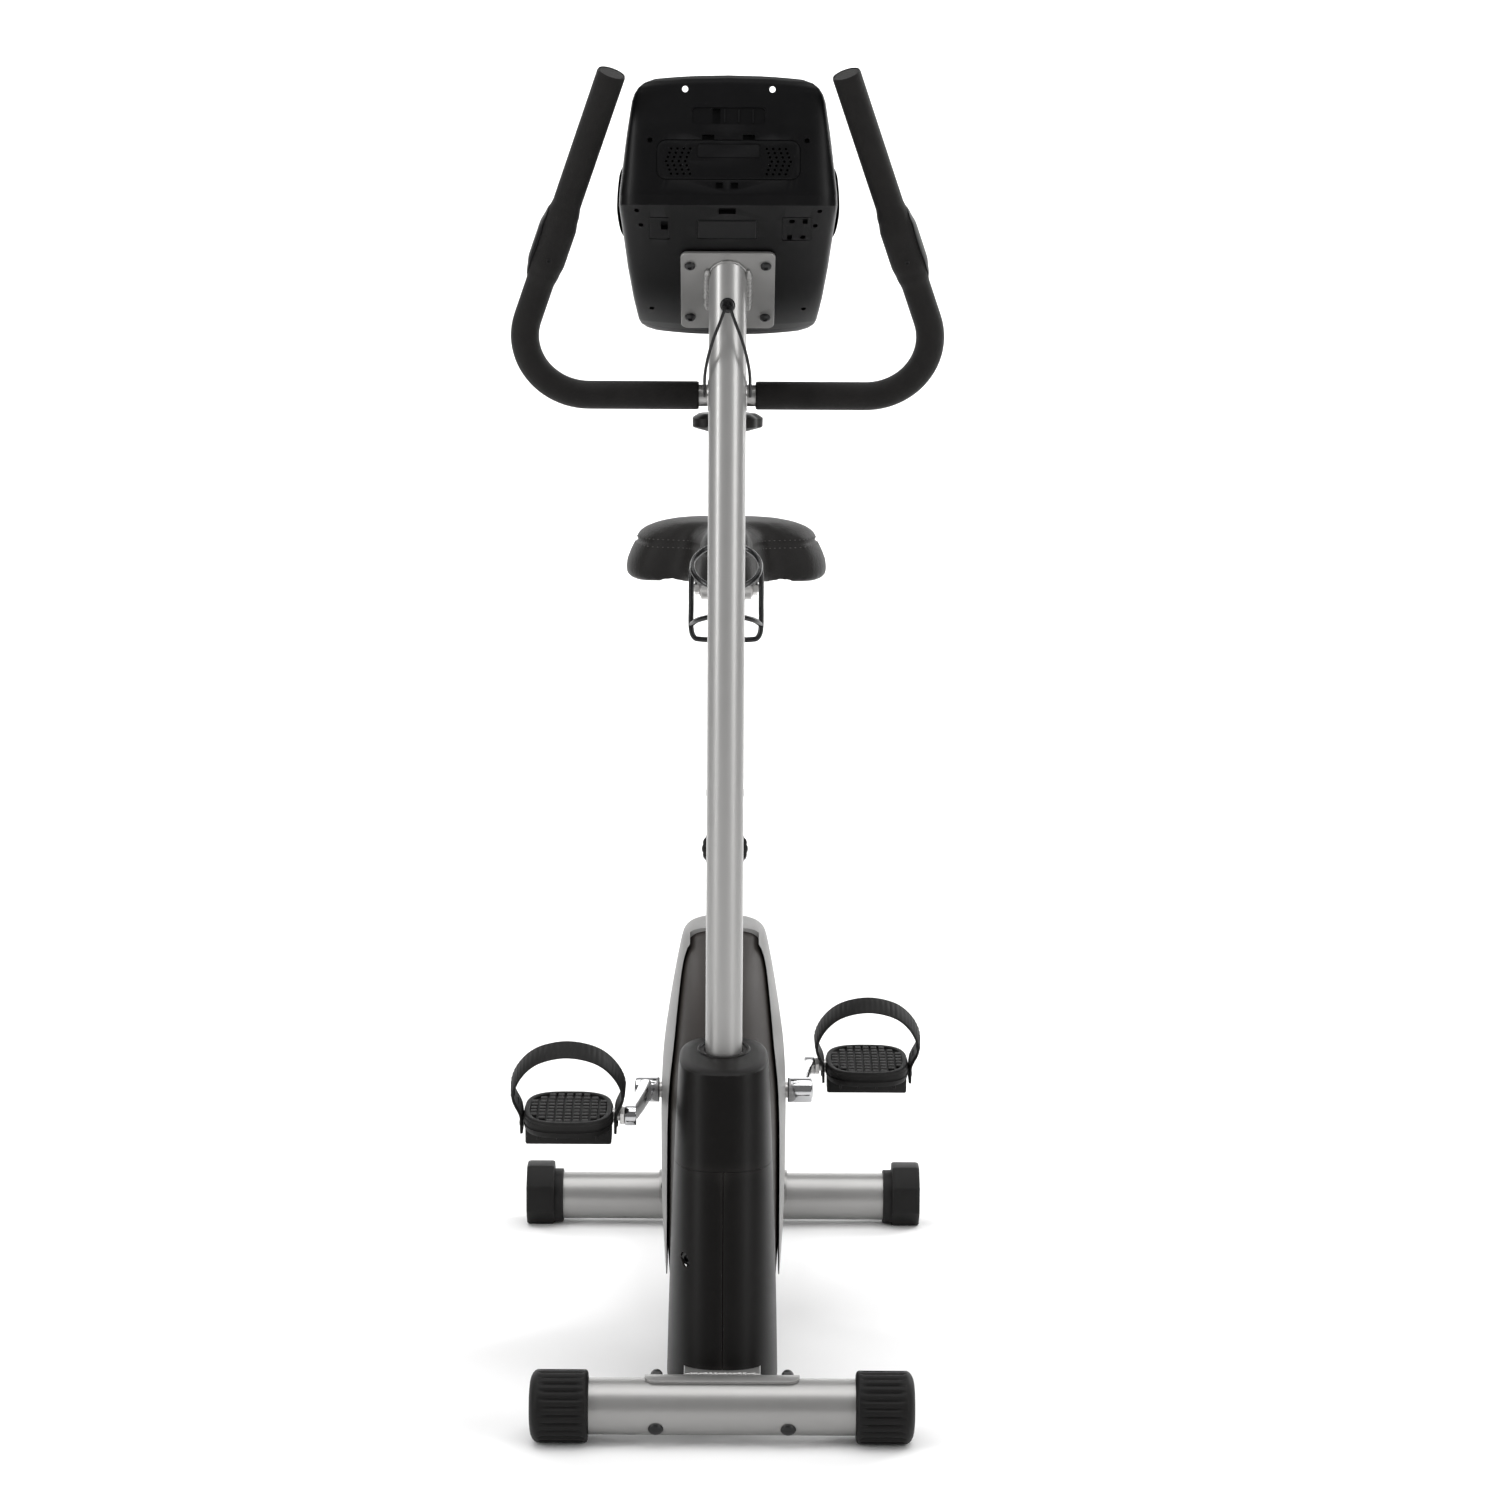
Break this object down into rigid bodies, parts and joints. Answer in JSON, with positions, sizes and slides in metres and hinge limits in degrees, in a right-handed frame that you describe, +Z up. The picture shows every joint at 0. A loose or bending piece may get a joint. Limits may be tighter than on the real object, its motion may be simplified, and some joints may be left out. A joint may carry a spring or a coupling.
{
  "type": "upright exercise bike",
  "caption": "Upright exercise bike with belt-driven flywheel under a shroud, strapped pedals, height-adjustable saddle, curved foam handlebar, console and bottle cage.",
  "frame": {"origin": "on the floor, at the middle of the footprint between the front and rear stabilisers", "axes": "+Z up, -Y forwards (the way the rider faces), +X to the rider's left"},
  "size_m": [0.475, 0.9226, 1.3604],
  "materials": {
    "silver_paint": "satin metallic silver paint",
    "shroud_plastic": "fine moulded texture, near black",
    "console_plastic": "fine moulded texture, black",
    "black_paint": "gloss black",
    "black_gloss_plastic": "gloss black",
    "foam_grip": "soft closed-cell foam",
    "chrome_steel": "polished",
    "zinc_steel": "zinc plated",
    "cast_iron": "machined, dark",
    "moulded_rubber": "ribbed, dull black",
    "belt_rubber": "ribbed belt",
    "saddle_vinyl": "soft matt upholstery",
    "sensor_steel": "brushed contact plates in a black housing",
    "cable_sheath": "gloss black sheath",
    "display_glass": "clear window over a dark display"
  },
  "bodies": {
    "frame": {"bar_clamp": "zinc_steel", "base_rail": "silver_paint", "bottle_cage": "black_paint", "console_back": "console_plastic", "console_front": "console_plastic", "crank_bearing_left": "zinc_steel", "crank_bearing_right": "zinc_steel", "display_window": "display_glass", "drive_belt": "belt_rubber", "flywheel_axle": "zinc_steel", "front_bolt_left": "black_paint", "front_bolt_right": "black_paint", "front_stabilizer": "silver_paint", "mast": "silver_paint", "mast_cover": "shroud_plastic", "mast_socket": "silver_paint", "power_inlet": "black_gloss_plastic", "pulse_lead_left": "cable_sheath", "pulse_lead_right": "cable_sheath", "rear_bolt_left": "black_paint", "rear_bolt_right": "black_paint", "rear_stabilizer": "silver_paint", "resistance_motor": "black_gloss_plastic", "seat_sleeve": "black_gloss_plastic", "seat_tube": "silver_paint", "shroud_left": "shroud_plastic", "shroud_right": "shroud_plastic", "side_panel_left": "silver_paint", "side_panel_right": "silver_paint"},
    "crank": {"crank_axle": "zinc_steel", "drive_pulley": "black_gloss_plastic", "crank_arm_left": "chrome_steel", "crank_arm_right": "chrome_steel", "pedal_spindle_left": "black_paint", "pedal_spindle_right": "black_paint"},
    "pedal_left": {"pedal_left": "moulded_rubber", "pedal_strap_left": "moulded_rubber"},
    "pedal_right": {"pedal_right": "moulded_rubber", "pedal_strap_right": "moulded_rubber"},
    "flywheel": {"flywheel": "cast_iron"},
    "magnet_arm": {"magnet_arm": "zinc_steel"},
    "front_roller_left": {"front_roller_left": "moulded_rubber"},
    "front_roller_right": {"front_roller_right": "moulded_rubber"},
    "rear_leveler_left": {"rear_leveler_left": "moulded_rubber"},
    "rear_leveler_right": {"rear_leveler_right": "moulded_rubber"},
    "seat_post": {"seat_post": "chrome_steel"},
    "saddle": {"seat_clamp": "zinc_steel", "saddle_pan": "shroud_plastic", "saddle_pad": "saddle_vinyl"},
    "seat_pin": {"seat_pin_knob": "shroud_plastic"},
    "handlebar": {"handlebar": "zinc_steel", "grip_left": "foam_grip", "grip_right": "foam_grip", "pulse_sensor_left": "sensor_steel", "pulse_sensor_right": "sensor_steel"},
    "clamp_knob": {"clamp_knob": "shroud_plastic"},
    "key_up": {"key_up": "moulded_rubber"},
    "key_start": {"key_start": "moulded_rubber"},
    "key_down": {"key_down": "moulded_rubber"}
  },
  "joints": [
    {"name": "crank_spin", "type": "hinge", "parent": "frame", "child": "crank", "pos_m": [0, -0.085, 0.282], "axis": [1, 0, 0], "continuous": true},
    {"name": "flywheel_spin", "type": "hinge", "parent": "frame", "child": "flywheel", "pos_m": [0, -0.141, 0.172], "axis": [1, 0, 0], "continuous": true},
    {"name": "pedal_left_spin", "type": "hinge", "parent": "crank", "child": "pedal_left", "pos_m": [0.16, 0.08463, 0.27073], "axis": [1, 0, 0], "continuous": true},
    {"name": "pedal_right_spin", "type": "hinge", "parent": "crank", "child": "pedal_right", "pos_m": [-0.16, -0.25463, 0.29327], "axis": [1, 0, 0], "continuous": true},
    {"name": "magnet_arm_swing", "type": "hinge", "parent": "frame", "child": "magnet_arm", "pos_m": [0, -0.125, 0.268], "axis": [-1, 0, 0], "range_deg": [0, 5]},
    {"name": "front_roller_left_spin", "type": "hinge", "parent": "frame", "child": "front_roller_left", "pos_m": [0.163, -0.425, 0.03625], "axis": [1, 0, 0], "continuous": true},
    {"name": "front_roller_right_spin", "type": "hinge", "parent": "frame", "child": "front_roller_right", "pos_m": [-0.163, -0.425, 0.03625], "axis": [1, 0, 0], "continuous": true},
    {"name": "rear_leveler_left_turn", "type": "hinge", "parent": "frame", "child": "rear_leveler_left", "pos_m": [0.216, 0.425, 0.03285], "axis": [1, 0, 0], "range_deg": [-180, 180]},
    {"name": "rear_leveler_right_turn", "type": "hinge", "parent": "frame", "child": "rear_leveler_right", "pos_m": [-0.216, 0.425, 0.03285], "axis": [1, 0, 0], "range_deg": [-180, 180]},
    {"name": "seat_post_slide", "type": "slide", "parent": "frame", "child": "seat_post", "axis": [0, 0.342, 0.9397], "range_m": [-0.075, 0.1]},
    {"name": "saddle_tilt", "type": "hinge", "parent": "seat_post", "child": "saddle", "pos_m": [0, 0.10571, 0.80597], "axis": [1, 0, 0], "range_deg": [-8, 8]},
    {"name": "seat_pin_pull", "type": "slide", "parent": "frame", "child": "seat_pin", "axis": [0, -0.9397, 0.342], "range_m": [0, 0.01], "stiffness_N_per_m": 900, "springref_m": -0.004},
    {"name": "handlebar_tilt", "type": "hinge", "parent": "frame", "child": "handlebar", "pos_m": [0, -0.21, 1.034], "axis": [1, 0, 0], "range_deg": [-12, 20]},
    {"name": "clamp_knob_turn", "type": "hinge", "parent": "frame", "child": "clamp_knob", "pos_m": [0, -0.189, 1.006], "axis": [0, 0, 1], "range_deg": [-360, 0]},
    {"name": "key_up_press", "type": "slide", "parent": "frame", "child": "key_up", "axis": [0, -0.8686, -0.4955], "range_m": [0, 0.001], "stiffness_N_per_m": 600},
    {"name": "key_start_press", "type": "slide", "parent": "frame", "child": "key_start", "axis": [0, -0.8686, -0.4955], "range_m": [0, 0.001], "stiffness_N_per_m": 600},
    {"name": "key_down_press", "type": "slide", "parent": "frame", "child": "key_down", "axis": [0, -0.8686, -0.4955], "range_m": [0, 0.001], "stiffness_N_per_m": 600}
  ],
  "couplings": [
    {"joint": "flywheel_spin", "follows": "crank_spin", "ratio": 7}
  ]
}
